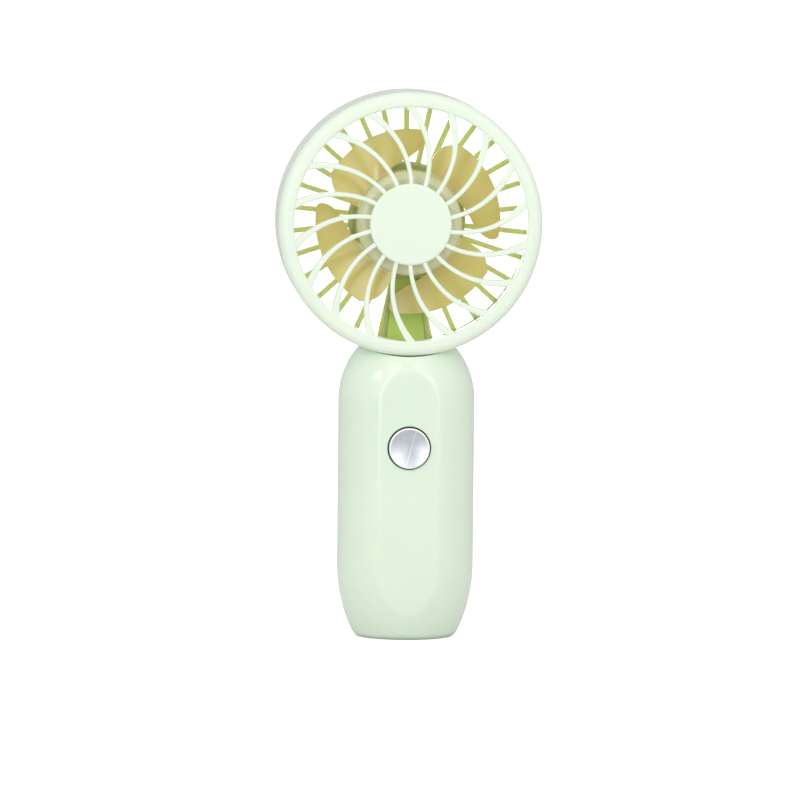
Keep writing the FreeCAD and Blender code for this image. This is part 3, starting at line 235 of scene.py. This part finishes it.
def repaint(material, share, new_colour):
    """Lays a colour over the one that the shader already has, as far as share says."""
    tree = material.node_tree
    base = shader_of(material).inputs["Base Color"]
    tree.links.new(blended(tree, share, base.links[0].from_socket, new_colour), base)


tan = moulded("tan PP", colour(216, 196, 124), colour(209, 186, 112), drift=0.7,
              roughness=0.3, polish=0.1, grain_scale=3800, grain_depth=0.000004)
tune(tan, {"Subsurface Weight": 0.5, "Subsurface Radius": (1, 0.9, 0.4),
           "Subsurface Scale": 0.006, "Coat Weight": 0.6, "Coat Roughness": 0.12})
impeller_low, impeller_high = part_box("impeller")
hub_axis_z = (impeller_low[2] + impeller_high[2]) / 2
hub_edge = 0.0146
hub_fade = 0.0012
across, _, up = sides_of(tan.node_tree, own_place(tan.node_tree))
# Painted light: the hub is painted a paler cream to lift the shade under the disc.
painted_hub_light = mapped(tan.node_tree, from_axis(tan.node_tree, across, up, hub_axis_z), hub_edge,
                hub_edge - hub_fade)
repaint(tan, painted_hub_light, colour(255, 249, 194))
dress(tan, "impeller")

# ------------------------------------------------- screws, motor, switch, cell and contacts
# Pressed, drawn or turned metal keeps the marks of its making: fine lines along the stock and
# slightly duller patches where it was handled. Steel is zinc-plated, the cell's can and tabs
# are nickel, the contacts are gilt, the bearing is bronze and the coils are enamelled copper.

worked_metal, taken, given = new_group(
    "Worked Metal",
    {"Colour": (0.6, 0.6, 0.6, 1), "Dull Colour": (0.5, 0.5, 0.5, 1), "Roughness": 0.25,
     "Line Depth": 0.12, "Line Scale": 1800.0})
patch_scale = 420
line_run = (1, 1, 0.04)
where = own_place(worked_metal)
lines = noise_at(worked_metal, where, taken["Line Scale"], 3, line_run)
patches = spread(worked_metal, noise_at(worked_metal, where, patch_scale, 3), 0, 1)
roughest = maths(worked_metal, "ADD", taken["Roughness"], taken["Line Depth"])
feed(worked_metal, blended(worked_metal, patches, taken["Colour"], taken["Dull Colour"]),
     given["Colour"])
feed(worked_metal, spread(worked_metal, lines, taken["Roughness"], roughest), given["Roughness"])
feed(worked_metal, lines, given["Height"])


def metal(name, bright, dull, roughness, line_depth, line_scale):
    """A worked metal. Its roughness runs from roughness to roughness + line_depth."""
    material = skinned(name, worked_metal,
                       {"Colour": bright, "Dull Colour": dull, "Roughness": roughness,
                        "Line Depth": line_depth, "Line Scale": line_scale},
                       relief=0.000004, relief_strength=0.4)
    tune(material, {"Metallic": 1})
    return material


steel = metal("zinc-plated steel", colour(206, 208, 210), colour(176, 178, 180),
              roughness=0.29, line_depth=0.12, line_scale=1800)
dress(steel, "neck_screws", "foot_screws", "board_screws", "charge_screws", "switch_plate",
      "switch_dome", "switch_legs", "rotor_yoke", "shaft_clip", "stator_core", "usb_shell",
      "motor_shaft")
nickel = metal("nickel", colour(222, 220, 212), colour(200, 197, 188),
               roughness=0.29, line_depth=0.1, line_scale=2400)
dress(nickel, "battery_can", "battery_cap", "battery_top_tab", "battery_foot_tab")
gilt = metal("gilt and bronze", colour(226, 190, 104), colour(196, 158, 78),
             roughness=0.29, line_depth=0.12, line_scale=2600)
dress(gilt, "usb_contacts", "sleeve_bearing")
copper = metal("enamelled copper", colour(210, 122, 66), colour(172, 88, 44),
               roughness=0.3, line_depth=0.2, line_scale=5200)
dress(copper, "stator_windings")

# ---------------------------------------------------------------------- power button
# A vacuum-metallised cap, silvery with a slight pearl, with a painted highlight on the rim round
# its dish.
# The plating stops where the cap goes through the shell, so its skirt and flange are bare dark
# plastic, which is also painted shade in the gap round the cap. A hairline crosses the dish.

silver = metal("metallised cap", colour(217, 222, 227), colour(200, 206, 213),
               roughness=0.29, line_depth=0.06, line_scale=900)
cap = silver.node_tree
button_low, button_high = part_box("power_button")
button_z = (button_low[2] + button_high[2]) / 2
across, depth, up = sides_of(cap, own_place(cap))
hairline_lean = (0.96, -0.27)
hairline_offset = 0.00048
hairline_half = 0.00008
hairline_fade = 0.00005
hairline_share = 0.8
slope = maths(cap, "ADD", maths(cap, "MULTIPLY", across, hairline_lean[0]),
              maths(cap, "MULTIPLY", up, hairline_lean[1]))
off_line = maths(cap, "ABSOLUTE", maths(cap, "SUBTRACT", slope,
                                        hairline_offset + hairline_lean[1] * button_z))
on_line = mapped(cap, off_line, hairline_half, hairline_half + hairline_fade, hairline_share, 0)
repaint(silver, on_line, colour(250, 251, 252))
edge_fade = 0.0001
rim_reach = 0.005
# Painted highlight: the rim round the dish is painted whiter and less metallic, standing in for
# the light its bevel catches.
painted_rim_highlight = mapped(cap, from_axis(cap, across, up, button_z), rim_reach - edge_fade, rim_reach)
repaint(silver, painted_rim_highlight, colour(246, 247, 247))
# The skirt and flange are painted near-black: bare plastic under the plating, and painted shade
# that darkens the gap round the cap.
plating_edge = button_low[1] + 0.0013
plated = mapped(cap, depth, plating_edge, plating_edge - edge_fade)
repaint(silver, maths(cap, "SUBTRACT", 1, plated), colour(38, 36, 32))
rim_highlight_metal_drop = 0.6
cap.links.new(maths(cap, "SUBTRACT", plated, maths(cap, "MULTIPLY", painted_rim_highlight, rim_highlight_metal_drop)),
              shader_of(silver).inputs["Metallic"])
dress(silver, "power_button")

# --------------------------------------------------- boards, leads, insulators and film
# Switch body, chips, connectors, bobbins, gasket, foam, the cell's film and the wire insulation.
# None is polished, and each has the moulded skin in its own colour.

black = moulded("black nylon", colour(34, 34, 36), colour(26, 26, 28), drift=0.6,
                roughness=0.5, polish=0.15, grain_scale=3000, grain_depth=0.000006)
dress(black, "switch_body", "switch_plunger", "controller_chip", "boost_coil", "charge_chip",
      "usb_tongue", "hall_sensor", "battery_pad", "rotor_magnet")
white = moulded("natural nylon", colour(236, 234, 224), colour(226, 222, 208), drift=0.6,
                roughness=0.45, polish=0.15, grain_scale=3000, grain_depth=0.000006)
dress(white, "motor_connector", "battery_gasket", "thrust_washer", "stator_bobbins")
film = moulded("blue shrink film", colour(46, 98, 170), colour(38, 84, 152), drift=0.5,
               roughness=0.29, polish=0.1, grain_scale=900, grain_depth=0.00001)
dress(film, "battery_sleeve")
ceramic = moulded("chip ceramic", colour(170, 146, 116), colour(150, 128, 100), drift=0.8,
                  roughness=0.5, polish=0.15, grain_scale=5000, grain_depth=0.000004)
dress(ceramic, "board_parts")
resist = moulded("green solder resist", colour(28, 104, 60), colour(22, 88, 50), drift=0.8,
                 roughness=0.3, polish=0.1, grain_scale=1600, grain_depth=0.000008)
dress(resist, "main_board", "charge_board", "motor_board")
for shade, main, cooler in (("red", colour(188, 30, 28), colour(168, 24, 24)),
                            ("black", colour(30, 30, 32), colour(22, 22, 24))):
    insulation = moulded(shade + " insulation", main, cooler, drift=0.5,
                         roughness=0.35, polish=0.12, grain_scale=2600, grain_depth=0.000006)
    dress(insulation, "motor_lead_" + shade, "battery_lead_" + shade, "charge_lead_" + shade)

# --------------------------------------------------------------------- floor and sky
# A wide sheet of matt paper that bounces a soft light, under an even sky that is strongest in
# front. To the camera both read as white, so the backdrop shows bright through the grille.

floor_data = bpy.data.meshes.new("studio_floor")
half = 6.0
floor_data.from_pydata([(-half, -half, 0), (half, -half, 0), (half, half, 0), (-half, half, 0)],
                       [], [(0, 1, 2, 3)])
floor = bpy.data.objects.new("studio_floor", floor_data)
bpy.context.collection.objects.link(floor)
bounced_grey = (0.7, 0.7, 0.7, 1)
seen_grey = (0.95, 0.95, 0.95, 1)
seen_glow = 0.42
paper = bpy.data.materials.new("studio paper")
paper.use_nodes = True
tune(paper, {"Roughness": 0.9, "Specular IOR Level": 0, "Emission Color": (1, 1, 1, 1)})
looked_at = paper.node_tree.nodes.new("ShaderNodeLightPath").outputs["Is Camera Ray"]
feed(paper.node_tree, blended(paper.node_tree, looked_at, bounced_grey, seen_grey),
     shader_of(paper).inputs["Base Color"])
feed(paper.node_tree, maths(paper.node_tree, "MULTIPLY", looked_at, seen_glow),
     shader_of(paper).inputs["Emission Strength"])
floor_data.materials.append(paper)

world = bpy.data.worlds.new("studio")
bpy.context.scene.world = world
world.use_nodes = True
sky = world.node_tree


def ramp(value, start, end, low, high):
    """A smooth change of light across the sky, between two cosines of its direction."""
    return mapped(sky, value, start, end, low, high, "SMOOTHSTEP")


front_fill = 1.0
side_fill = 0.8
back_fill = 0.66
above_fill = 0.15
right_share = 0.9
toward_x, toward_y, toward_z = sides_of(
    sky, sky.nodes.new("ShaderNodeTexCoord").outputs["Generated"])
in_front = ramp(toward_y, -0.95, 0.1, front_fill, side_fill)
behind = ramp(toward_y, 0.4, 0.95, 0, back_fill - side_fill)
across = ramp(toward_x, -0.6, 0.8, 1, right_share)
above = ramp(toward_z, 0.6, 1, 0, above_fill)
level_light = maths(sky, "MULTIPLY", maths(sky, "ADD", in_front, behind), across)
fill = sky.nodes.new("ShaderNodeBackground")
fill.inputs["Color"].default_value = (1, 1, 1, 1)
feed(sky, maths(sky, "ADD", level_light, above), fill.inputs["Strength"])
backdrop = sky.nodes["Background"]
backdrop.inputs["Color"].default_value = (1, 1, 1, 1)
backdrop.inputs["Strength"].default_value = 1.0
seen = sky.nodes.new("ShaderNodeLightPath").outputs["Is Camera Ray"]
choose = sky.nodes.new("ShaderNodeMixShader")
feed(sky, seen, choose.inputs["Fac"])
sky.links.new(fill.outputs["Background"], choose.inputs[1])
sky.links.new(backdrop.outputs["Background"], choose.inputs[2])
sky.links.new(choose.outputs["Shader"], sky.nodes["World Output"].inputs["Surface"])

# ------------------------------------------------------------------------------ lamps
# A tall softbox on each side draws the long highlights down the handle. A small one high on each
# side lights its shoulders, and a weak one close behind the head shines through the rear bars.

middle = Vector((-0.0017, 0, 0.0628))
head_middle = Vector((0, 0, 0.11))


def softbox(name, place, width, height, power, aim=middle):
    """A flat rectangular lamp that faces the middle of the fan, or of its head."""
    lamp = bpy.data.lights.new(name, "AREA")
    lamp.shape = "RECTANGLE"
    lamp.size = width
    lamp.size_y = height
    lamp.energy = power
    holder = bpy.data.objects.new(name, lamp)
    holder.location = place
    holder.rotation_euler = (aim - Vector(place)).to_track_quat("-Z", "Y").to_euler()
    holder.visible_camera = False
    bpy.context.collection.objects.link(holder)


softbox("left_softbox", (-0.139, -0.343, 0.19), width=0.1, height=0.4, power=0.24)
softbox("right_softbox", (0.139, -0.343, 0.19), width=0.08, height=0.4, power=0.15)
softbox("left_top_softbox", (-0.304, -0.255, 0.27), width=0.06, height=0.06, power=0.085)
softbox("rear_softbox", (0, 0.14, 0.11), width=0.05, height=0.05, power=0.06, aim=head_middle)
softbox("right_top_softbox", (0.239, -0.342, 0.229), width=0.05, height=0.08, power=0.1)

# ----------------------------------------------------------------------------- camera
# A long lens, a little to the left of the fan and a little above it, turned by half a degree.

azimuth = math.radians(-3.7)
elevation = math.radians(5.3)
lean = math.radians(0.54)
camera_distance = 1.75
camera_data = bpy.data.cameras.new("camera")
camera_data.lens = 297
camera_data.sensor_width = 36
camera = bpy.data.objects.new("camera", camera_data)
bpy.context.collection.objects.link(camera)
bpy.context.scene.camera = camera
towards = Vector((math.sin(azimuth) * math.cos(elevation),
                  -math.cos(azimuth) * math.cos(elevation), math.sin(elevation)))
level = (-towards).to_track_quat("-Z", "Y").to_matrix().to_4x4()
camera.matrix_world = (Matrix.Translation(middle + towards * camera_distance) @ level
                       @ Matrix.Rotation(lean, 4, "Z"))
bpy.context.scene.view_settings.view_transform = "Standard"
